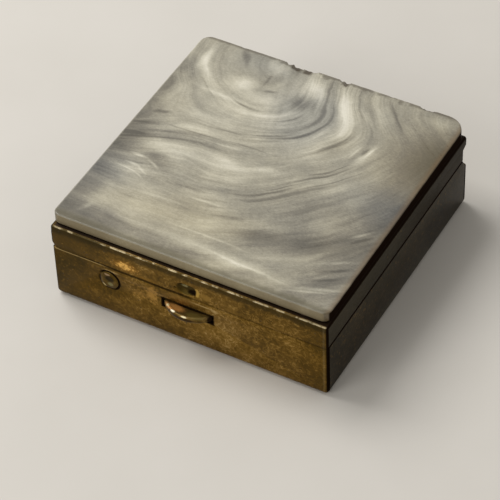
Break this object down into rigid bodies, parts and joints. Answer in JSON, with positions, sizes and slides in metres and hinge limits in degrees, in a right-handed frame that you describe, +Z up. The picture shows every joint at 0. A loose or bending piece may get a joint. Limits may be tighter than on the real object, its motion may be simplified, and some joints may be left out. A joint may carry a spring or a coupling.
{
  "type": "pill box",
  "caption": "Square brass pill box with a hinged lid under a pearled slab, held shut by a leaf-spring latch with a half-moon thumb tab at the front.",
  "frame": {"origin": "centre of the box's footprint, on the flat underside of the base", "axes": "+Z up through the lid, +X to the right along the front as seen from the front, +Y to the back towards the hinge"},
  "size_m": [0.0447, 0.0468, 0.0154],
  "materials": {
    "tarnished_brass": "tarnished sheet brass with worn edges",
    "worn_brass": "rubbed brass with dirt in the corners",
    "spring_brass": "rolled spring brass, dull",
    "pin_wire": "drawn wire",
    "pearled_plastic": "polished pearled slab with grey and cream swirls",
    "cement": "old brown cement"
  },
  "bodies": {
    "base": {"base_tray": "tarnished_brass", "hinge_pin": "pin_wire", "spring_foot": "spring_brass", "spring_rivet": "worn_brass"},
    "lid": {"lid_shell": "tarnished_brass", "pearl_slab": "pearled_plastic", "slab_cement": "cement"},
    "latch": {"spring_arm": "spring_brass", "thumb_tab": "worn_brass"}
  },
  "joints": [
    {"name": "lid_hinge", "type": "hinge", "parent": "base", "child": "lid", "pos_m": [0, 0.02135, 0.00875], "axis": [-1, 0, 0], "range_deg": [0, 125]},
    {"name": "latch_press", "type": "hinge", "parent": "base", "child": "latch", "pos_m": [-0.0105, -0.02158, 0.00685], "axis": [0, 0, 1], "range_deg": [0, 4.5], "stiffness_Nm_per_rad": 0.3, "springref_deg": -1.15}
  ]
}
